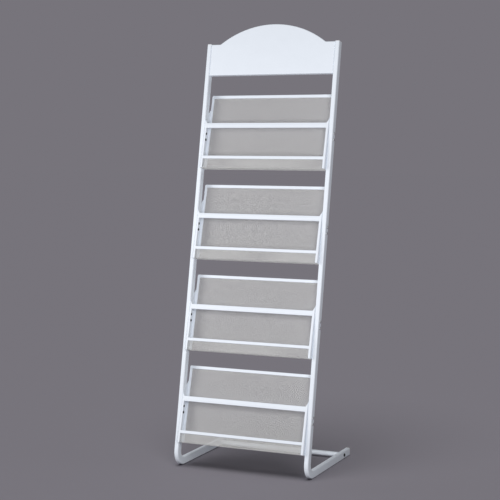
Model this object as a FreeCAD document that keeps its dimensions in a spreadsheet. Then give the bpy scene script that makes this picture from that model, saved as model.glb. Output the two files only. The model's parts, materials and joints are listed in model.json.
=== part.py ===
import FreeCAD, Part

# Free-standing steel brochure stand: two bent tubes that lean back, four mesh tiers bolted between them,
# an arched header panel and a cross tube between the feet. Millimetres, +Z up, the front faces -Y.

import math
import os
import re

import Sketcher

TIERS = ("bottom_tier", "lower_tier", "upper_tier", "top_tier")

# The plain grid of openings that stands for the fine mesh of each tray
MESH_COLUMNS = 6
MESH_ROWS = 3

SIZES = {
    # The whole stand
    "overall_width": 468,
    "overall_depth": 387,
    "upright_length": 1398,
    "lean": 11,
    # Upright tubes: the bend's radius is on its inside, and the bore's corners are cut flat
    "tube_width": 15,
    "tube_depth": 25,
    "tube_corner": 3.5,
    "tube_wall": 1.2,
    "bore_cut": 1.3,
    "bend_radius": 22,
    # Plastic caps in the open ends of the tubes
    "cap_rim": 2,
    "cap_plug": 14,
    "cap_edge": 0.8,
    "cap_clearance": 0.1,
    # Cross tube between the feet
    "cross_tube_diameter": 16,
    "cross_tube_wall": 1.2,
    "cross_tube_setback": 55,
    # Header panel: a pan with its open side at the back
    "header_height": 104,
    "header_depth": 16,
    "header_sheet": 1.2,
    "header_bend": 2,
    "header_recess": 1.5,
    "header_gap": 0.2,
    "arch_shoulder": 33,
    "arch_rise": 63,
    "arch_fillet": 8,
    # Tiers share the uprights evenly, from the floor of the lowest pocket up to this far below the header
    "tier_base": 78.4,
    "header_clearance": 15.6,
    # A tier leans more than the uprights, and the foot of its front plane stands this far in front of them
    "tier_lean": 4.4,
    "tier_reach": 13.5,
    # Side plates, on their tier's own axes
    "plate_sheet": 1.2,
    "plate_bend": 3,
    "plate_foot": 4.7,
    "plate_tip": 166,
    "plate_top": 210,
    "plate_corner": 2,
    "flange_width": 7.6,
    # Mesh back: its front plane stands this far behind the front plane of the tier
    "pocket_depth": 30.4,
    "panel_height": 257.5,
    "back_rail_width": 8,
    "back_rail_depth": 3,
    "back_rail_edge": 0.8,
    "top_rail_height": 9.8,
    "top_rail_corner": 4,
    # Bars across the front
    "front_rail_base": 138.8,
    "front_rail_height": 16.7,
    "front_rail_depth": 7,
    "front_rail_set": 0.8,
    "front_rail_crease": 9.6,
    "front_rail_sheet": 1.2,
    "front_rail_edge": 1.4,
    "lip_rail_base": 34.5,
    "lip_rail_height": 10,
    "lip_rail_depth": 4,
    "lip_rail_edge": 1.4,
    # Mesh trays
    "mesh_sheet": 0.8,
    "mesh_fold": 3,
    "mesh_gap": 0.3,
    "mesh_margin": 1,
    "mesh_bar": 10,
    # How far a cut runs past what it cuts
    "overrun": 5,
}

DOC = FreeCAD.newDocument("brochure_stand")
SHEET = DOC.addObject("Spreadsheet::Sheet", "Sizes")
for row, (alias, number) in enumerate(SIZES.items(), start=1):
    SHEET.set(f"A{row}", alias)
    SHEET.set(f"B{row}", str(number))
    SHEET.setAlias(f"B{row}", alias)
DOC.recompute()

NODES = []


# Formulas in the sizes above

INSIDE = "(overall_width / 2 - tube_width)"
PLATE_INSIDE = f"({INSIDE} - plate_sheet)"
# The foot of the lowest side plates is the front of the stand: its depth behind where the uprights' front
# faces would meet the floor.
FRONT_RISE = "(tier_base + plate_foot * cos(tier_lean))"
FRONT = f"({FRONT_RISE} * sin(lean) + (plate_foot * sin(tier_lean) - tier_reach) * cos(lean))"
ORIGIN_DEPTH = f"({FRONT} + overall_depth / 2)"
FOOT_END = f"({FRONT} + overall_depth - cap_rim)"
CROSS_TUBE_DEPTH = f"({FRONT} + overall_depth - cross_tube_setback)"
HEADER_BASE = "(upright_length - header_height)"
ARCH_CHORD = f"(2 * ({INSIDE} - arch_shoulder))"
TIER_PITCH = f"(({HEADER_BASE} - header_clearance - tier_base) / {len(TIERS)})"
# Depths of the middle and the rear face of the mesh back, behind the front plane of the tier.
MESH_MIDDLE = "(pocket_depth + back_rail_depth + mesh_sheet / 2)"
MESH_REAR = "(pocket_depth + back_rail_depth + mesh_sheet)"
MESH_HALF_WIDTH = f"({PLATE_INSIDE} - mesh_gap)"
LIP_TOP = "(lip_rail_base + lip_rail_height)"


def formula(text):
    """The text with the sheet's name put before each size in it."""
    return re.sub(r"[a-z_]+", lambda word: f"Sizes.{word[0]}" if word[0] in SIZES else word[0], text)


def value(text):
    return float(SHEET.evalExpression(formula(text)))


def bind(thing, attribute, text):
    thing.setExpression(attribute, formula(text))


# Sub-parts and their places

def new_body(label):
    body = DOC.addObject("PartDesign::Body", label)
    body.Label = label
    return body


def keep(thing, label):
    thing.Label = label
    NODES.append(thing)
    return thing


def set_down(thing, across, depth, height, tilt):
    """Binds a place in the stand's own frame, and a tilt that turns local +Z towards the back."""
    to_the_back = FreeCAD.Vector(-1, 0, 0)
    thing.Placement = FreeCAD.Placement(FreeCAD.Vector(), FreeCAD.Rotation(to_the_back, value(tilt)))
    bind(thing, "Placement.Base.x", across)
    bind(thing, "Placement.Base.y", f"{depth} - {ORIGIN_DEPTH}")
    bind(thing, "Placement.Base.z", height)
    bind(thing, "Placement.Rotation.Angle", tilt)


def set_on_upright(thing, rise="0", depth="0", across="0", more_tilt="0"):
    """Sets a thing at a rise along the uprights and a depth behind their front faces, leaning with them."""
    set_down(
        thing,
        across,
        f"(({rise}) * sin(lean) + ({depth}) * cos(lean))",
        f"(({rise}) * cos(lean) - ({depth}) * sin(lean))",
        f"(lean + {more_tilt})",
    )


def set_on_tier(thing, rise, depth="0"):
    """Sets a thing on the axes of the tier at a rise, at a depth behind the tier's front plane."""
    set_on_upright(
        thing,
        f"({rise} - {depth} * sin(tier_lean))",
        f"({depth} * cos(tier_lean) - tier_reach)",
        more_tilt="tier_lean",
    )


def mirror(source, label):
    """The other hand of a sub-part, on the far side of the middle plane."""
    copy = DOC.addObject("Part::Mirroring", label)
    copy.Source = source
    copy.Normal = FreeCAD.Vector(1, 0, 0)
    return keep(copy, label)


# Sketches: each corner or centre is held by formulas

def new_sketch(body, role, **offset):
    drawing = body.newObject("Sketcher::SketchObject", "Sketch")
    plane = next(item for item in body.Origin.OriginFeatures if item.Role == role)
    drawing.AttachmentSupport = [(plane, "")]
    drawing.MapMode = "FlatFace"
    for axis, text in offset.items():
        bind(drawing, f"AttachmentOffset.Base.{axis}", text)
    return drawing


def add_constraints(drawing, rules):
    """Adds constraints in one go; a rule is a constraint, or one with the formula that drives it."""
    plain = [rule[0] if isinstance(rule, tuple) else rule for rule in rules]
    indices = drawing.addConstraint(plain)
    for index, rule in zip(indices, rules):
        if isinstance(rule, tuple):
            bind(drawing, f"Constraints[{index}]", rule[1])


def hold(geometry, point, across, up):
    """Rules that hold a point at two coordinates."""
    rules = []
    for kind, axis, text in (("DistanceX", -2, across), ("DistanceY", -1, up)):
        if text == "0":
            rules.append(Sketcher.Constraint("PointOnObject", geometry, point, axis))
        else:
            rules.append((Sketcher.Constraint(kind, -1, 1, geometry, point, value(text)), text))
    return rules


def vector(corner):
    return FreeCAD.Vector(value(corner[0]), value(corner[1]), 0)


def arc_between(start, end, centre):
    """The shorter arc about a centre, and which of its ends lies at start."""
    first = math.atan2(start.y - centre.y, start.x - centre.x)
    last = math.atan2(end.y - centre.y, end.x - centre.x)
    turn = math.remainder(last - first, math.tau)
    circle = Part.Circle(centre, FreeCAD.Vector(0, 0, 1), (start - centre).Length)
    if turn > 0:
        return Part.ArcOfCircle(circle, first, first + turn), 1
    return Part.ArcOfCircle(circle, last, last - turn), 2


def outline(drawing, corners, closed=True):
    """Straight sides from corner to corner; a corner with a third formula is rounded to that radius."""
    count = len(corners)
    points = [vector(corner) for corner in corners]
    sides = count if closed else count - 1
    starts = list(points)
    ends = list(points)
    centres = {}
    for i, corner in enumerate(corners):
        if len(corner) == 3:
            back = (points[i - 1] - points[i]).normalize()
            ahead = (points[(i + 1) % count] - points[i]).normalize()
            half_angle = back.getAngle(ahead) / 2
            radius = value(corner[2])
            ends[i] = points[i] + back * (radius / math.tan(half_angle))
            starts[i] = points[i] + ahead * (radius / math.tan(half_angle))
            centres[i] = points[i] + (back + ahead).normalize() * (radius / math.sin(half_angle))
    first = drawing.GeometryCount
    lines = [Part.LineSegment(starts[i], ends[(i + 1) % count]) for i in range(sides)]
    drawing.addGeometry(lines, False)
    rules = []
    for i, corner in enumerate(corners):
        line = first + i
        before = first + (i - 1) % count
        if i in centres:
            arc, near = arc_between(ends[i], starts[i], centres[i])
            bend = drawing.addGeometry(arc, False)
            apex = drawing.addGeometry(Part.Point(points[i]), True)
            rules += hold(apex, 1, corner[0], corner[1])
            rules += [Sketcher.Constraint("PointOnObject", apex, 1, side) for side in (before, line)]
            rules.append(Sketcher.Constraint("Tangent", before, 2, bend, near))
            rules.append(Sketcher.Constraint("Tangent", bend, 3 - near, line, 1))
            rules.append((Sketcher.Constraint("Radius", bend, value(corner[2])), corner[2]))
        elif i < sides:
            rules += hold(line, 1, corner[0], corner[1])
            if closed or i > 0:
                rules.append(Sketcher.Constraint("Coincident", before, 2, line, 1))
        else:
            rules += hold(before, 2, corner[0], corner[1])
    add_constraints(drawing, rules)


def rectangle(drawing, low, high, radius=None):
    """A box from its low to its high corner, with rounded corners if a radius is given."""
    rounding = (radius,) if radius else ()
    corners = ((low[0], low[1]), (high[0], low[1]), (high[0], high[1]), (low[0], high[1]))
    outline(drawing, [corner + rounding for corner in corners])


def cut_rectangle(drawing, low, high, size):
    """A box from its low to its high corner, with its corners cut off at 45 degrees."""
    outline(
        drawing,
        [
            (f"{low[0]} + {size}", low[1]),
            (f"{high[0]} - {size}", low[1]),
            (high[0], f"{low[1]} + {size}"),
            (high[0], f"{high[1]} - {size}"),
            (f"{high[0]} - {size}", high[1]),
            (f"{low[0]} + {size}", high[1]),
            (low[0], f"{high[1]} - {size}"),
            (low[0], f"{low[1]} + {size}"),
        ],
    )


def hole(drawing, across, up, diameter):
    centre = FreeCAD.Vector(value(across), value(up), 0)
    circle = drawing.addGeometry(Part.Circle(centre, FreeCAD.Vector(0, 0, 1), value(diameter) / 2), False)
    size = (Sketcher.Constraint("Diameter", circle, value(diameter)), diameter)
    add_constraints(drawing, hold(circle, 3, across, up) + [size])


# Features

def pad(body, drawing, length, symmetric=False, reverse=False):
    feature = body.newObject("PartDesign::Pad", "Pad")
    feature.Profile = drawing
    feature.SideType = "Symmetric" if symmetric else "One side"
    feature.Reversed = reverse
    bind(feature, "Length", length)
    return feature


def pocket(body, drawing, length, reverse=False):
    feature = body.newObject("PartDesign::Pocket", "Pocket")
    feature.Profile = drawing
    feature.Reversed = reverse
    bind(feature, "Length", length)
    return feature


def pocket_through(body, drawing):
    feature = body.newObject("PartDesign::Pocket", "Pocket")
    feature.Profile = drawing
    feature.Type = "ThroughAll"
    feature.SideType = "Symmetric"
    return feature


def pipe(body, profile, path):
    feature = body.newObject("PartDesign::AdditivePipe", "Pipe")
    feature.Profile = profile
    feature.Spine = path
    return feature


def furthest_face(body, outward):
    """The flat face of the body's last feature that lies furthest along a direction."""
    DOC.recompute()
    reach = [face.CenterOfMass * outward for face in body.Tip.Shape.Faces]
    return body.Tip, [f"Face{reach.index(max(reach)) + 1}"]


def round_face(body, outward, radius):
    """Rounds the edges of the face that lies furthest along a direction."""
    face = furthest_face(body, outward)
    fillet = body.newObject("PartDesign::Fillet", "Fillet")
    fillet.Base = face
    bind(fillet, "Radius", radius)


def bevel_face(body, outward, size):
    """Bevels the edges of the face that lies furthest along a direction."""
    face = furthest_face(body, outward)
    chamfer = body.newObject("PartDesign::Chamfer", "Chamfer")
    chamfer.Base = face
    bind(chamfer, "Size", size)


def spread(body, feature, across, columns, up, rows):
    """Repeats a cut in columns and rows, at a step across and a step up."""
    origin = {item.Role: item for item in body.Origin.OriginFeatures}
    DOC.recompute()
    grid = body.newObject("PartDesign::MultiTransform", "MultiTransform")
    grid.Originals = [feature]
    runs = []
    for axis, step, count in (("X_Axis", across, columns), ("Z_Axis", up, rows)):
        if count > 1:
            run = body.newObject("PartDesign::LinearPattern", "LinearPattern")
            run.Direction = (origin[axis], [""])
            run.Occurrences = count
            bind(run, "Length", f"{count - 1} * {step}")
            runs.append(run)
    grid.Transformations = runs
    body.Tip = grid


# Uprights

def on_leaning_axes(depth, height):
    """A point of the side view, given from the floor, on axes that lean with the uprights."""
    return (
        f"(({depth}) * cos(lean) - ({height}) * sin(lean))",
        f"(({depth}) * sin(lean) + ({height}) * cos(lean))",
    )


def upright():
    """One bent tube: the upright, the bend and the foot."""
    body = new_body("left_upright")
    middle = "(tube_depth / 2)"
    path = new_sketch(body, "YZ_Plane", z=f"-{INSIDE} - tube_width / 2")
    foot_corner = (middle, f"({middle} * (1 + sin(lean)) / cos(lean))", "bend_radius + tube_depth / 2")
    foot_end = on_leaning_axes(FOOT_END, middle)
    outline(path, [(middle, "upright_length"), foot_corner, foot_end], closed=False)
    section = new_sketch(body, "XY_Plane", z="upright_length")
    outside = "(-overall_width / 2)"
    rectangle(section, (outside, "0"), (f"-{INSIDE}", "tube_depth"), "tube_corner")
    bore_low = (f"{outside} + tube_wall", "tube_wall")
    bore_high = (f"-{INSIDE} - tube_wall", "tube_depth - tube_wall")
    cut_rectangle(section, bore_low, bore_high, "bore_cut")
    pipe(body, section, path)
    set_on_upright(body)
    keep(body, "left_upright")
    mirror(body, "right_upright")


def tube_cap(name):
    """A plug with a bevelled rim; its seat, the end of the tube, is the local plane z = 0."""
    body = new_body(f"left_{name}")
    half_size = ("tube_width / 2", "tube_depth / 2")
    rim = new_sketch(body, "XY_Plane")
    rectangle(rim, [f"-({half})" for half in half_size], half_size, "tube_corner")
    pad(body, rim, "cap_rim")
    plug = new_sketch(body, "XY_Plane")
    plug_size = [f"{half} - tube_wall - cap_clearance" for half in half_size]
    cut_rectangle(plug, [f"-({half})" for half in plug_size], plug_size, "bore_cut")
    pad(body, plug, "cap_plug", reverse=True)
    bevel_face(body, FreeCAD.Vector(0, 0, 1), "cap_edge")
    return keep(body, f"left_{name}")


def tube_caps():
    across = f"-{INSIDE} - tube_width / 2"
    top = tube_cap("top_cap")
    set_on_upright(top, "upright_length", "tube_depth / 2", across)
    mirror(top, "right_top_cap")
    foot = tube_cap("foot_cap")
    set_down(foot, across, FOOT_END, "tube_depth / 2", "90")
    mirror(foot, "right_foot_cap")


# Cross tube

def cross_tube():
    tube = new_body("rear_cross_tube")
    section = new_sketch(tube, "YZ_Plane")
    hole(section, "0", "0", "cross_tube_diameter")
    hole(section, "0", "0", "cross_tube_diameter - 2 * cross_tube_wall")
    pad(tube, section, f"2 * {INSIDE}", symmetric=True)
    set_down(tube, "0", CROSS_TUBE_DEPTH, "tube_depth / 2", "0")
    keep(tube, "rear_cross_tube")


# Header panel

def header_outline(drawing, half_width, inset):
    """The panel's front view, drawn in by an inset: straight sides, shoulders and a filleted arch."""
    shoulder = f"(header_height - {inset})"
    radius = f"((({ARCH_CHORD} / 2) ^ 2 + arch_rise ^ 2) / (2 * arch_rise) - {inset})"
    centre_up = f"({shoulder} + {inset} + arch_rise - ({radius} + {inset}))"
    fillet = f"(arch_fillet + {inset})"
    side = value(half_width)
    fillet_rise = value(f"{shoulder} + {fillet} - {centre_up}")
    reach = math.sqrt((value(radius) + value(fillet)) ** 2 - fillet_rise ** 2)
    centre = FreeCAD.Vector(0, value(centre_up), 0)
    left_centre = FreeCAD.Vector(-reach, value(f"{shoulder} + {fillet}"), 0)
    right_centre = FreeCAD.Vector(reach, left_centre.y, 0)
    left_touch = centre + (left_centre - centre).normalize() * value(radius)
    right_touch = centre + (right_centre - centre).normalize() * value(radius)
    level = value(shoulder)
    low_left = FreeCAD.Vector(-side, value(inset), 0)
    low_right = FreeCAD.Vector(side, value(inset), 0)
    left_shoulder = FreeCAD.Vector(-side, level, 0)
    right_shoulder = FreeCAD.Vector(side, level, 0)
    left_foot = FreeCAD.Vector(-reach, level, 0)
    right_foot = FreeCAD.Vector(reach, level, 0)
    left_fillet, left_start = arc_between(left_foot, left_touch, left_centre)
    right_fillet, right_start = arc_between(right_touch, right_foot, right_centre)
    arch, arch_start = arc_between(left_touch, right_touch, centre)
    drawing.addGeometry(
        [
            Part.LineSegment(low_right, low_left),
            Part.LineSegment(low_left, left_shoulder),
            Part.LineSegment(left_shoulder, left_foot),
            left_fillet,
            arch,
            right_fillet,
            Part.LineSegment(right_foot, right_shoulder),
            Part.LineSegment(right_shoulder, low_right),
        ],
        False,
    )
    bottom, left, left_top, left_arc, crown, right_arc, right_top, right = range(8)
    rules = hold(bottom, 2, f"-({half_width})", inset) + hold(bottom, 1, half_width, inset)
    rules += hold(left, 2, f"-({half_width})", shoulder) + hold(right, 1, half_width, shoulder)
    rules += [
        Sketcher.Constraint("Coincident", bottom, 2, left, 1),
        Sketcher.Constraint("Coincident", left, 2, left_top, 1),
        Sketcher.Constraint("Horizontal", left_top),
        Sketcher.Constraint("Tangent", left_top, 2, left_arc, left_start),
        Sketcher.Constraint("Tangent", left_arc, 3 - left_start, crown, arch_start),
        Sketcher.Constraint("Tangent", crown, 3 - arch_start, right_arc, right_start),
        Sketcher.Constraint("Tangent", right_arc, 3 - right_start, right_top, 1),
        Sketcher.Constraint("Horizontal", right_top),
        Sketcher.Constraint("Coincident", right_top, 2, right, 1),
        Sketcher.Constraint("Coincident", right, 2, bottom, 1),
        (Sketcher.Constraint("Radius", left_arc, value(fillet)), fillet),
        (Sketcher.Constraint("Radius", right_arc, value(fillet)), fillet),
        (Sketcher.Constraint("Radius", crown, value(radius)), radius),
    ]
    rules += hold(crown, 3, "0", centre_up)
    add_constraints(drawing, rules)


def header():
    """A sheet pan: its rim is folded back all round, and its sides stand against the uprights."""
    body = new_body("header_panel")
    half_width = f"({INSIDE} - header_gap)"
    front = new_sketch(body, "XZ_Plane", z="-header_recess")
    header_outline(front, half_width, "0")
    pad(body, front, "header_depth", reverse=True)
    round_face(body, FreeCAD.Vector(0, -1, 0), "header_bend")
    back = new_sketch(body, "XZ_Plane", z="-header_recess - header_depth")
    header_outline(back, f"({half_width} - header_sheet)", "header_sheet")
    pocket(body, back, "header_depth - header_sheet", reverse=True)
    set_on_upright(body, HEADER_BASE)
    keep(body, "header_panel")


# Tiers

def side_plates(tier, rise):
    """Folded plates: a side wall against the upright and a narrow flange across the front."""
    body = new_body(f"{tier}_left_side_plate")
    outer = f"-{INSIDE}"
    inner = f"-{PLATE_INSIDE}"
    flange_end = f"(-{INSIDE} + flange_width)"
    fold = new_sketch(body, "XY_Plane", z="plate_foot")
    outline(
        fold,
        [
            (outer, "0", "plate_bend"),
            (outer, f"{MESH_REAR} + overrun"),
            (inner, f"{MESH_REAR} + overrun"),
            (inner, "plate_sheet", "plate_bend - plate_sheet"),
            (flange_end, "plate_sheet"),
            (flange_end, "0"),
        ],
    )
    pad(body, fold, "plate_top - plate_foot")

    # The side wall is cut to a slanted top edge and a back edge along the mesh.
    side = new_sketch(body, "YZ_Plane")
    slope = f"((plate_top - plate_tip) / {MESH_REAR})"
    low = "(plate_foot - overrun)"
    outline(
        side,
        [
            ("-overrun", f"plate_tip - overrun * {slope}"),
            (MESH_REAR, "plate_top", "plate_corner"),
            (MESH_REAR, low),
            (f"{MESH_REAR} + 2 * overrun", low),
            (f"{MESH_REAR} + 2 * overrun", "plate_top + overrun"),
            ("-overrun", "plate_top + overrun"),
        ],
    )
    pocket_through(body, side)

    # The flange's top runs down from the tip beside the wall to the top of the front rail.
    front = new_sketch(body, "XZ_Plane")
    rail_top = "(front_rail_base + front_rail_height)"
    fall = f"((plate_tip - {rail_top}) / ({flange_end} - {inner}))"
    outline(
        front,
        [
            (inner, "plate_tip"),
            (f"{flange_end} + overrun", f"{rail_top} - overrun * {fall}"),
            (f"{flange_end} + overrun", "plate_tip + overrun"),
            (inner, "plate_tip + overrun"),
        ],
    )
    pocket_through(body, front)

    set_on_tier(body, rise)
    keep(body, f"{tier}_left_side_plate")
    mirror(body, f"{tier}_right_side_plate")


def mesh_openings(body, low, high, rows):
    """Openings with even bars between them, cut straight back through the sheet between two heights."""
    across = f"((2 * {MESH_HALF_WIDTH} - mesh_bar) / {MESH_COLUMNS})"
    up = f"(({high} - {low} + mesh_bar) / {rows})"
    left = f"(mesh_bar - {MESH_HALF_WIDTH})"
    opening = new_sketch(body, "XZ_Plane")
    rectangle(opening, (left, low), (f"{left} + {across} - mesh_bar", f"{low} + {up} - mesh_bar"))
    spread(body, pocket_through(body, opening), across, MESH_COLUMNS, up, rows)


def mesh_tray(tier, rise):
    """One sheet folded into the lip, the floor and the back of the pocket, with a grid of openings."""
    body = new_body(f"{tier}_mesh_tray")
    half_sheet = "(mesh_sheet / 2)"
    lip = f"(lip_rail_depth + {half_sheet})"
    fold = f"(mesh_fold + {half_sheet})"
    path = new_sketch(body, "YZ_Plane")
    outline(
        path,
        [
            (lip, LIP_TOP),
            (lip, half_sheet, fold),
            (MESH_MIDDLE, half_sheet, fold),
            (MESH_MIDDLE, "panel_height - mesh_margin"),
        ],
        closed=False,
    )
    section = new_sketch(body, "XY_Plane", z=LIP_TOP)
    low = (f"-{MESH_HALF_WIDTH}", "lip_rail_depth")
    rectangle(section, low, (MESH_HALF_WIDTH, "lip_rail_depth + mesh_sheet"))
    pipe(body, section, path)
    # One row runs through the lip and the foot of the back; the others stand in the back above the lip.
    mesh_openings(body, "(mesh_sheet + mesh_fold + mesh_bar / 2)", "lip_rail_base", 1)
    mesh_openings(body, f"({LIP_TOP} + mesh_bar / 2)", "(panel_height - top_rail_height)", MESH_ROWS)
    set_on_tier(body, rise)
    keep(body, f"{tier}_mesh_tray")


def flat_bar(label, low_x, high_x, low_z, high_z, end_corner=None):
    """A strip on the mesh back's own axes: front edges bevelled, upper ends rounded if asked."""
    body = new_body(label)
    face = new_sketch(body, "XZ_Plane")
    rounding = (end_corner,) if end_corner else ()
    upper_ends = [(high_x, high_z) + rounding, (low_x, high_z) + rounding]
    outline(face, [(low_x, low_z), (high_x, low_z)] + upper_ends)
    pad(body, face, "back_rail_depth", reverse=True)
    bevel_face(body, FreeCAD.Vector(0, -1, 0), "back_rail_edge")
    return keep(body, label)


def back_rails(tier, rise):
    """The strips that edge the mesh back: one along the top, one down each side."""
    top = "(panel_height - top_rail_height)"
    inner = f"(-{PLATE_INSIDE} + back_rail_width)"
    left = flat_bar(f"{tier}_left_back_rail", f"-{PLATE_INSIDE}", inner, "plate_foot", top)
    set_on_tier(left, rise, "pocket_depth")
    mirror(left, f"{tier}_right_back_rail")
    name = f"{tier}_top_rail"
    across = flat_bar(name, f"-{PLATE_INSIDE}", PLATE_INSIDE, top, "panel_height", "top_rail_corner")
    set_on_tier(across, rise, "pocket_depth")


def front_rail(tier, rise):
    """A folded channel, open at the back, whose face is creased a little below its middle."""
    body = new_body(f"{tier}_front_rail")
    base = "front_rail_base"
    crease = "(front_rail_base + front_rail_crease)"
    top = "(front_rail_base + front_rail_height)"
    edge = "front_rail_edge"
    sheet = "front_rail_sheet"
    section = new_sketch(body, "YZ_Plane")
    outline(
        section,
        [
            ("0", base, edge),
            ("0", crease),
            ("front_rail_set", top, edge),
            ("front_rail_depth", top),
            ("front_rail_depth", f"{top} - {sheet}"),
            (f"front_rail_set + {sheet}", f"{top} - {sheet}"),
            (sheet, crease),
            (sheet, f"{base} + {sheet}"),
            ("front_rail_depth", f"{base} + {sheet}"),
            ("front_rail_depth", base),
        ],
    )
    pad(body, section, f"2 * ({INSIDE} - flange_width)", symmetric=True)
    set_on_tier(body, rise)
    keep(body, f"{tier}_front_rail")


def lip_rail(tier, rise):
    """A flat bar with rounded edges, in front of the top edge of the mesh lip."""
    body = new_body(f"{tier}_lip_rail")
    section = new_sketch(body, "YZ_Plane")
    rectangle(section, ("0", "lip_rail_base"), ("lip_rail_depth", LIP_TOP), "lip_rail_edge")
    pad(body, section, f"2 * ({INSIDE} - flange_width)", symmetric=True)
    set_on_tier(body, rise)
    keep(body, f"{tier}_lip_rail")


upright()
tube_caps()
cross_tube()
header()
for step, tier in enumerate(TIERS):
    rise = f"(tier_base + {step} * {TIER_PITCH})"
    side_plates(tier, rise)
    mesh_tray(tier, rise)
    back_rails(tier, rise)
    front_rail(tier, rise)
    lip_rail(tier, rise)

DOC.recompute()
for item in DOC.Objects:
    if "Invalid" in item.State or "Error" in item.State:
        raise RuntimeError(f"{item.Label} failed: {item.State}")
for node in NODES:
    if node.Shape.isNull() or not node.Shape.isValid():
        raise RuntimeError(f"{node.Label} has no valid shape")

os.makedirs("parts", exist_ok=True)
for node in NODES:
    node.Shape.exportStep(f"parts/{node.Label}.step")
    print(node.Label, len(node.Shape.Solids), "solids", round(node.Shape.Volume), "mm3")
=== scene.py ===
"""Looks for the brochure stand: white coats, fine mesh trays, caps, fasteners, floor, light and camera.

Metres, +Z up, the stand's front faces -Y.
"""

import json
import math

import bpy
import numpy as np
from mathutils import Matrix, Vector


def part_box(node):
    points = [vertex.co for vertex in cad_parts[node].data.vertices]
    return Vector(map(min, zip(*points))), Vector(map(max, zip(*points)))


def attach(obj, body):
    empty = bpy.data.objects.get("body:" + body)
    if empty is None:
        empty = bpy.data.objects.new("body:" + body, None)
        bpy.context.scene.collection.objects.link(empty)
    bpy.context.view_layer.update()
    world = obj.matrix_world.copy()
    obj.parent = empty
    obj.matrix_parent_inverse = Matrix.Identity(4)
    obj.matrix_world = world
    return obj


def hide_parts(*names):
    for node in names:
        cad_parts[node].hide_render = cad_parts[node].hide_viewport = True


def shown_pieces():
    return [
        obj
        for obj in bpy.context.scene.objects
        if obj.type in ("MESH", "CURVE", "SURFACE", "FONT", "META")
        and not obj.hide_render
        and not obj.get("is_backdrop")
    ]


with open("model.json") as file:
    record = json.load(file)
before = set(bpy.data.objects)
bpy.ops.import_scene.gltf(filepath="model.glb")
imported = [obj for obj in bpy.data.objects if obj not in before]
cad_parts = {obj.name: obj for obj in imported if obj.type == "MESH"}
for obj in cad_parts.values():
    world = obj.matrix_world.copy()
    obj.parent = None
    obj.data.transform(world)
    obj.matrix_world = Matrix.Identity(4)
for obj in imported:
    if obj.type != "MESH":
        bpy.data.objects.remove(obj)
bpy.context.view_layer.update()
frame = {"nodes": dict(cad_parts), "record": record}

TIERS = ("bottom_tier", "lower_tier", "upper_tier", "top_tier")

# The lean of the uprights and the tiers, and how far a tier's foot stands in front of the uprights
LEAN = math.radians(11)
TIER_LEAN = math.radians(15.4)
TIER_REACH = 0.0135

# The trays' folded sheet on their tier's axes, in the CAD source's sizes, but with a slightly higher floor
# that makes the lip as short as in the photograph. Depths are those of the sheet's front faces.
SHEET = 0.0008
FOLD_INSIDE = 0.003
FOLD_STEPS = 5
TRAY_FLOOR = 0.005
LIP_DEPTH = 0.004
LIP_TOP = 0.0445
BACK_DEPTH = 0.0334
BACK_TOP = 0.2565

# What the fasteners sit on: the gap from a tray to its side plates, the uprights' depth, the header's sheet
MESH_GAP = 0.0003
TUBE_DEPTH = 0.025
HEADER_SHEET = 0.0012

# Rises of a tier's screws above the tier's foot, and of the header's above the top tier's
TIER_SCREWS = (0.101, 0.121)
HEADER_SCREWS = (0.340, 0.395)

# Diamond mesh: the openings' long and short way, and the strands' width and depth
LONG_WAY = 0.0026
SHORT_WAY = 0.0016
STRAND_WIDTH = 0.00032
STRAND_DEPTH = 0.00035

# Rings of the fasteners: radius, height and whether hexagonal
BUTTON_HEAD = (
    (0.0043, 0, False),
    (0.0041, 0.0010, False),
    (0.0032, 0.0018, False),
    (0.0020, 0.0021, True),
    (0.0020, 0.0008, True),
)
ROUND_NUT = (
    (0.0045, 0, False),
    (0.0045, 0.0012, False),
    (0.0041, 0.0020, False),
    (0.0030, 0.0024, False),
)
FOOT_BOLT = (
    (0.0053, 0, False),
    (0.0053, 0.0016, False),
    (0.0046, 0.0026, False),
    (0.0030, 0.0030, True),
    (0.0030, 0.0010, True),
)

# Colours of the finishes and the studio
COAT_WHITE = (0.81, 0.86, 0.93)
MESH_WHITE = (0.745, 0.745, 0.735)
CAP_GREY = (0.80, 0.81, 0.83)
ZINC_GREY = (0.66, 0.67, 0.69)
STEEL_BLACK = (0.032, 0.032, 0.035)
FLOOR_GREY = (0.259, 0.245, 0.277)
BACKDROP_GREY = (0.184, 0.175, 0.198)
AMBIENT_WHITE = (0.95, 0.97, 1)

# Studio: half the floor's side, the world's strength on the stand, and what the softboxes face
FLOOR_REACH = 30
AMBIENT_STRENGTH = 0.12
AIM = (0, 0, 0.75)

# Softboxes: place, width and height, watts, and whether shiny surfaces mirror them
SOFTBOXES = {
    "left_light": ((-1.6, -1.5, 1.1), (1.2, 1.6), 29, True),
    "right_light": ((1.1, -1.9, 1.1), (1.2, 1.6), 35, True),
    "back_light": ((-0.8, 2.4, 0.4), (0.6, 0.6), 34, False),
}

# Light on the floor: elevation and spread in degrees, and strength
FLOOR_LIGHT_ELEVATION = 74
FLOOR_LIGHT_SPREAD = 44
FLOOR_LIGHT_STRENGTH = 1.94

# Camera: place, tilt up from straight down and turn about Z in degrees, lens and sensor in millimetres
CAMERA_PLACE = (1.7192, -3.9368, 1.0750)
CAMERA_TILT = 85.006
CAMERA_TURN = 24.165
CAMERA_LENS = 95.3
CAMERA_SENSOR = 36


# Objects

def add_to_scene(name, data):
    """A new object with this data, in the scene."""
    thing = bpy.data.objects.new(name, data)
    bpy.context.scene.collection.objects.link(thing)
    return thing


def new_mesh(name, points, faces, material):
    """A new mesh object of one material."""
    data = bpy.data.meshes.new(name)
    data.from_pydata(points, [], faces)
    data.materials.append(material)
    return add_to_scene(name, data)


# Materials

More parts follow.
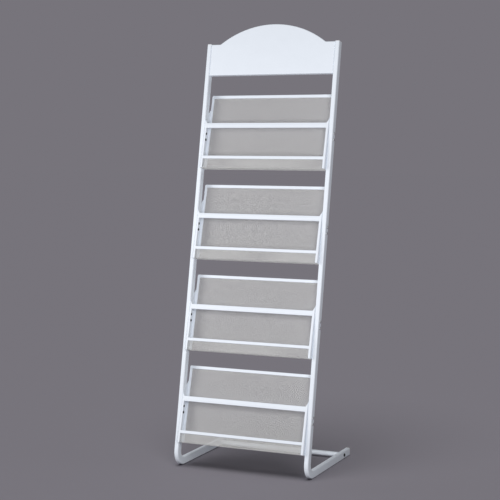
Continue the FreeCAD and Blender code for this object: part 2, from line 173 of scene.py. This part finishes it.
def new_material(name, colour, roughness, metallic=0.0):
    """A principled material with even values; returns it with its node tree and shader."""
    material = bpy.data.materials.new(name)
    material.use_nodes = True
    material.diffuse_color = (*colour, 1)
    shader = material.node_tree.nodes["Principled BSDF"]
    shader.inputs["Base Color"].default_value = (*colour, 1)
    shader.inputs["Roughness"].default_value = roughness
    shader.inputs["Metallic"].default_value = metallic
    return material, material.node_tree, shader


def object_noise(tree, scale, detail):
    """Noise on the object's own coordinates, with a scale in waves per metre."""
    place = tree.nodes.new("ShaderNodeTexCoord")
    noise = tree.nodes.new("ShaderNodeTexNoise")
    noise.inputs["Scale"].default_value = scale
    noise.inputs["Detail"].default_value = detail
    tree.links.new(place.outputs["Object"], noise.inputs["Vector"])
    return noise


def uneven(tree, shader, scale, colour, fade, roughness):
    """Lets the colour fade and the roughness drift between two values, with noise of one scale."""
    noise = object_noise(tree, scale, detail=3)
    ramp = tree.nodes.new("ShaderNodeValToRGB")
    faded = [channel * fade for channel in colour]
    for element, shade in zip(ramp.color_ramp.elements, (faded, colour)):
        element.color = (*shade, 1)
    tree.links.new(noise.outputs["Fac"], ramp.inputs["Fac"])
    tree.links.new(ramp.outputs["Color"], shader.inputs["Base Color"])
    drift = tree.nodes.new("ShaderNodeMapRange")
    drift.inputs["To Min"].default_value, drift.inputs["To Max"].default_value = roughness
    tree.links.new(noise.outputs["Fac"], drift.inputs["Value"])
    tree.links.new(drift.outputs["Result"], shader.inputs["Roughness"])


def grain(tree, shader, scale, strength, depth):
    """A fine bump over the whole surface, with its depth in metres."""
    noise = object_noise(tree, scale, detail=2)
    bump = tree.nodes.new("ShaderNodeBump")
    bump.inputs["Strength"].default_value = strength
    bump.inputs["Distance"].default_value = depth
    tree.links.new(noise.outputs["Fac"], bump.inputs["Height"])
    tree.links.new(bump.outputs["Normal"], shader.inputs["Normal"])


def powder_coat(name, colour):
    """Baked-on powder paint: satin, a little uneven in thickness, with a faint orange peel."""
    material, tree, shader = new_material(name, colour, roughness=0.42)
    uneven(tree, shader, scale=30, colour=colour, fade=0.97, roughness=(0.34, 0.50))
    grain(tree, shader, scale=700, strength=0.12, depth=0.00006)
    return material


def dipped_wire(name, colour):
    """Coated mesh, whose paint gathers here and there in the crossings."""
    material, tree, shader = new_material(name, colour, roughness=0.45)
    uneven(tree, shader, scale=150, colour=colour, fade=0.90, roughness=(0.36, 0.54))
    return material


def moulded_plastic(name, colour):
    """Matt plastic with a fine moulded grain."""
    material, tree, shader = new_material(name, colour, roughness=0.5)
    uneven(tree, shader, scale=120, colour=colour, fade=0.95, roughness=(0.42, 0.58))
    grain(tree, shader, scale=1800, strength=0.25, depth=0.00005)
    return material


def plated_steel(name, colour, roughness):
    """Plated or blackened steel, dulled in places, with its least and greatest roughness."""
    material, tree, shader = new_material(name, colour, roughness[1], metallic=1.0)
    uneven(tree, shader, scale=400, colour=colour, fade=0.85, roughness=roughness)
    return material


def dress_nodes():
    """Gives each CAD node the look of the slot that the record puts it in; returns the looks by slot."""
    looks = {
        "white_powder_coat": powder_coat("white_powder_coat", COAT_WHITE),
        "white_mesh": dipped_wire("white_mesh", MESH_WHITE),
        "cap_plastic": moulded_plastic("cap_plastic", CAP_GREY),
        "zinc_steel": plated_steel("zinc_steel", ZINC_GREY, roughness=(0.25, 0.45)),
        "dark_steel": plated_steel("dark_steel", STEEL_BLACK, roughness=(0.3, 0.5)),
    }
    for subpart in frame["record"]["subparts"]:
        node = frame["nodes"][subpart["node"]]
        node.data.materials.clear()
        node.data.materials.append(looks[subpart["material_slot"]])
    return looks


# Mesh trays

def rounded_line(corners, radius, steps):
    """The corners joined by straight runs, with an arc of even steps in place of each inner corner."""
    points = [corners[0]]
    for before, corner, after in zip(corners, corners[1:], corners[2:]):
        back = (before - corner) / np.linalg.norm(before - corner)
        ahead = (after - corner) / np.linalg.norm(after - corner)
        half_angle = math.acos(np.clip(back @ ahead, -1, 1)) / 2
        middle = (back + ahead) / np.linalg.norm(back + ahead)
        centre = corner + middle * radius / math.sin(half_angle)
        side = ahead - back
        side /= np.linalg.norm(side)
        sweep = math.pi / 2 - half_angle
        for angle in np.linspace(-sweep, sweep, steps + 1):
            points.append(centre + radius * (side * math.sin(angle) - middle * math.cos(angle)))
    points.append(corners[-1])
    return np.array(points)


def tray_line():
    """The middle of the folded sheet, from the lip's top to the back's top, at the tier's lean."""
    half = SHEET / 2
    lip = [(LIP_DEPTH + half, LIP_TOP), (LIP_DEPTH + half, TRAY_FLOOR)]
    back = [(BACK_DEPTH + half, TRAY_FLOOR), (BACK_DEPTH + half, BACK_TOP)]
    line = rounded_line(np.array(lip + back), FOLD_INSIDE + half, FOLD_STEPS)
    cosine, sine = math.cos(TIER_LEAN), math.sin(TIER_LEAN)
    return line @ np.array([[cosine, -sine], [sine, cosine]])


def stations(line):
    """Length along the line, and the unit tangent and normal, at each of its points."""
    steps = np.diff(line, axis=0)
    lengths = np.linalg.norm(steps, axis=1)
    along = np.concatenate([[0], np.cumsum(lengths)])
    units = steps / lengths[:, None]
    tangents = np.vstack([units[:1], units[:-1] + units[1:], units[-1:]])
    tangents /= np.linalg.norm(tangents, axis=1)[:, None]
    normals = np.column_stack([-tangents[:, 1], tangents[:, 0]])
    return along, tangents, normals


def strand(line, start, slope, half_width, offset):
    """Corners of one strand's cross-sections, or None where it misses the sheet.

    It crosses the top of the lip at start and shifts sideways by slope for each metre along the line.
    """
    along, tangents, normals = stations(line)
    reach = sorted(((-half_width - start) / slope, (half_width - start) / slope))
    first = max(0, reach[0])
    last = min(along[-1], reach[1])
    if last - first < STRAND_WIDTH:
        return None
    inner = along[(along > first) & (along < last)]
    stops = np.concatenate([[first], inner, [last]])

    def read(values):
        return np.column_stack([np.interp(stops, along, values[:, axis]) for axis in (0, 1)])

    across = start + slope * stops
    place = np.column_stack([across, read(line)])
    tangent = read(tangents)
    normal = np.column_stack([np.zeros(len(stops)), read(normals)])
    wide = np.column_stack([np.ones(len(stops)), -slope * tangent]) / math.hypot(1, slope)
    sections = []
    for side, level in ((-1, -1), (1, -1), (1, 1), (-1, 1)):
        shift = offset + level * STRAND_DEPTH / 2
        sections.append(place + wide * side * STRAND_WIDTH / 2 + normal * shift)
    return np.stack(sections, axis=1)


def strand_faces(base, count):
    """Faces of a closed strand with a count of four-cornered sections, whose points start at base."""
    end = base + 4 * (count - 1)
    faces = []
    for here in range(base, end, 4):
        for k in range(4):
            j = (k + 1) % 4
            faces.append((here + k, here + j, here + 4 + j, here + 4 + k))
    faces.append((base + 3, base + 2, base + 1, base))
    faces.append((end, end + 1, end + 2, end + 3))
    return faces


def tier_origin(tier):
    """The foot of the tier's front plane, found from the top of its tray."""
    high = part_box(f"{tier}_mesh_tray")[1]
    half = SHEET / 2
    top = np.array([high.y - half * math.cos(TIER_LEAN), high.z - half * math.sin(TIER_LEAN)])
    return top - tray_line()[-1]


def mesh_tray(tier, look):
    """Two crossing families of strands in the space of the tier's folded sheet."""
    node = f"{tier}_mesh_tray"
    line = tray_line() + tier_origin(tier)
    half_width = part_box(node)[1].x - STRAND_WIDTH / 2
    slope = LONG_WAY / SHORT_WAY
    length = stations(line)[0][-1]
    count = math.ceil((half_width + length * slope) / LONG_WAY)
    sink = (SHEET - STRAND_DEPTH) / 2
    points = []
    faces = []
    for direction in (-1, 1):
        for step in range(-count, count + 1):
            sections = strand(line, step * LONG_WAY, direction * slope, half_width, direction * sink)
            if sections is not None:
                faces.extend(strand_faces(len(points), len(sections)))
                points.extend(sections.reshape(-1, 3))
    piece = new_mesh(f"{tier}_mesh", points, faces, look)
    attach(piece, "root")
    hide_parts(node)


# Fasteners

def turned(rings, sides=24):
    """Points and faces of a small turned part along +X, open at its seat.

    Each ring has a radius, a height and whether it is hexagonal.
    """
    angles = np.arange(sides) * math.tau / sides
    flat = np.cos((angles % (math.pi / 3)) - math.pi / 6)
    points = []
    faces = []
    for radius, height, hexagonal in rings:
        reach = radius * math.cos(math.pi / 6) / flat if hexagonal else np.full(sides, radius)
        along = np.full(sides, height)
        points.append(np.column_stack([along, reach * np.cos(angles), reach * np.sin(angles)]))
    for ring in range(len(rings) - 1):
        here = ring * sides
        for k in range(sides):
            j = (k + 1) % sides
            faces.append((here + k, here + j, here + sides + j, here + sides + k))
    faces.append(tuple(range((len(rings) - 1) * sides, len(rings) * sides)))
    return np.vstack(points), faces


def fasteners(name, rings, seat, places, inward, slot, looks):
    """Copies of a turned part on both sides, which stand on a seat at a distance from the middle plane."""
    part, part_faces = turned(rings)
    points = []
    faces = []
    for side in (-1, 1):
        way = -side if inward else side
        for y, z in places:
            base = sum(map(len, points))
            points.append(part * (way, 1, 1) + (side * seat, y, z))
            for face in part_faces:
                corners = [base + k for k in face]
                faces.append(corners if way > 0 else corners[::-1])
    piece = new_mesh(name, np.vstack(points), faces, looks[slot])
    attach(piece, "root")


def screw_places(tier, rises):
    """Points (y, z) in the middle of the upright's depth, at rises along it from the tier's foot."""
    back = np.array([math.cos(LEAN), -math.sin(LEAN)])
    up = np.array([math.sin(LEAN), math.cos(LEAN)])
    foot = tier_origin(tier) + back * (TIER_REACH + TUBE_DEPTH / 2)
    return [foot + up * rise for rise in rises]


def tier_fasteners(tier, looks):
    """Button heads on the inside of the tier's side plates, and round nuts outside the uprights."""
    places = screw_places(tier, TIER_SCREWS)
    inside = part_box(f"{tier}_mesh_tray")[1].x + MESH_GAP
    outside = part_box("right_upright")[1].x
    fasteners(f"{tier}_screws", BUTTON_HEAD, inside, places, True, "dark_steel", looks)
    fasteners(f"{tier}_nuts", ROUND_NUT, outside, places, False, "zinc_steel", looks)


def header_screws(looks):
    """Button heads on the inside of the header's sides."""
    places = screw_places(TIERS[-1], HEADER_SCREWS)
    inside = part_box("header_panel")[1].x - HEADER_SHEET
    fasteners("header_screws", BUTTON_HEAD, inside, places, True, "dark_steel", looks)


def foot_bolts(looks):
    """One bolt through each foot, in line with the cross tube."""
    low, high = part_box("rear_cross_tube")
    middle = (low + high) / 2
    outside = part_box("right_upright")[1].x
    fasteners("foot_bolts", FOOT_BOLT, outside, [(middle.y, middle.z)], False, "dark_steel", looks)


# Studio

def floor():
    """A plain matt floor that reaches far past the view."""
    material, _, shader = new_material("floor", FLOOR_GREY, roughness=0.9)
    shader.inputs["Specular IOR Level"].default_value = 0
    signs = ((-1, -1), (1, -1), (1, 1), (-1, 1))
    corners = [(x * FLOOR_REACH, y * FLOOR_REACH, 0) for x, y in signs]
    plane = new_mesh("floor", corners, [(0, 1, 2, 3)], material)
    plane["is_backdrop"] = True
    return plane


def surroundings():
    """A world that the camera and reflections see as a grey backdrop, with a light of its own strength."""
    world = bpy.data.worlds.new("studio")
    bpy.context.scene.world = world
    world.use_nodes = True
    tree = world.node_tree
    ambient = tree.nodes["Background"]
    ambient.inputs["Color"].default_value = (*AMBIENT_WHITE, 1)
    ambient.inputs["Strength"].default_value = AMBIENT_STRENGTH
    seen = tree.nodes.new("ShaderNodeBackground")
    seen.inputs["Color"].default_value = (*BACKDROP_GREY, 1)
    path = tree.nodes.new("ShaderNodeLightPath")
    shown = path.outputs["Is Camera Ray"]
    for kind in ("Is Glossy Ray", "Is Transmission Ray"):
        either = tree.nodes.new("ShaderNodeMath")
        either.operation = "MAXIMUM"
        tree.links.new(shown, either.inputs[0])
        tree.links.new(path.outputs[kind], either.inputs[1])
        shown = either.outputs["Value"]
    mix = tree.nodes.new("ShaderNodeMixShader")
    tree.links.new(shown, mix.inputs["Fac"])
    tree.links.new(ambient.outputs["Background"], mix.inputs[1])
    tree.links.new(seen.outputs["Background"], mix.inputs[2])
    tree.links.new(mix.outputs["Shader"], tree.nodes["World Output"].inputs["Surface"])


def light_only(lamp, pieces):
    """Keeps a lamp to some pieces; the others still cast their shadows in it."""
    lit = bpy.data.collections.new(f"{lamp.name}_receivers")
    for piece in pieces:
        lit.objects.link(piece)
    lamp.light_linking.receiver_collection = lit


def floor_light():
    """A soft distant lamp, high in front of the stand."""
    data = bpy.data.lights.new("floor_light", "SUN")
    data.energy = FLOOR_LIGHT_STRENGTH
    data.angle = math.radians(FLOOR_LIGHT_SPREAD)
    lamp = add_to_scene("floor_light", data)
    lamp.rotation_euler = (math.radians(90 - FLOOR_LIGHT_ELEVATION), 0, 0)
    return lamp


def softbox(name, place, size, power, mirrored):
    """A wide lamp that faces the middle of the stand."""
    data = bpy.data.lights.new(name, "AREA")
    data.shape = "RECTANGLE"
    data.size, data.size_y = size
    data.energy = power
    lamp = add_to_scene(name, data)
    lamp.location = place
    lamp.rotation_euler = (Vector(AIM) - Vector(place)).to_track_quat("-Z", "Y").to_euler()
    lamp.visible_camera = False
    lamp.visible_glossy = mirrored
    return lamp


def studio():
    """Softboxes for the stand, and a light from above for the floor, so that the floor stays even."""
    plane = floor()
    surroundings()
    for name, settings in SOFTBOXES.items():
        light_only(softbox(name, *settings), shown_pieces())
    light_only(floor_light(), [plane])


def camera():
    """The photograph's viewpoint."""
    data = bpy.data.cameras.new("camera")
    data.sensor_width = CAMERA_SENSOR
    data.lens = CAMERA_LENS
    eye = add_to_scene("camera", data)
    eye.location = CAMERA_PLACE
    eye.rotation_euler = (math.radians(CAMERA_TILT), 0, math.radians(CAMERA_TURN))
    bpy.context.scene.camera = eye


looks = dress_nodes()
for tier in TIERS:
    mesh_tray(tier, looks["white_mesh"])
    tier_fasteners(tier, looks)
header_screws(looks)
foot_bolts(looks)
studio()
camera()
bpy.context.scene.view_settings.view_transform = "Standard"
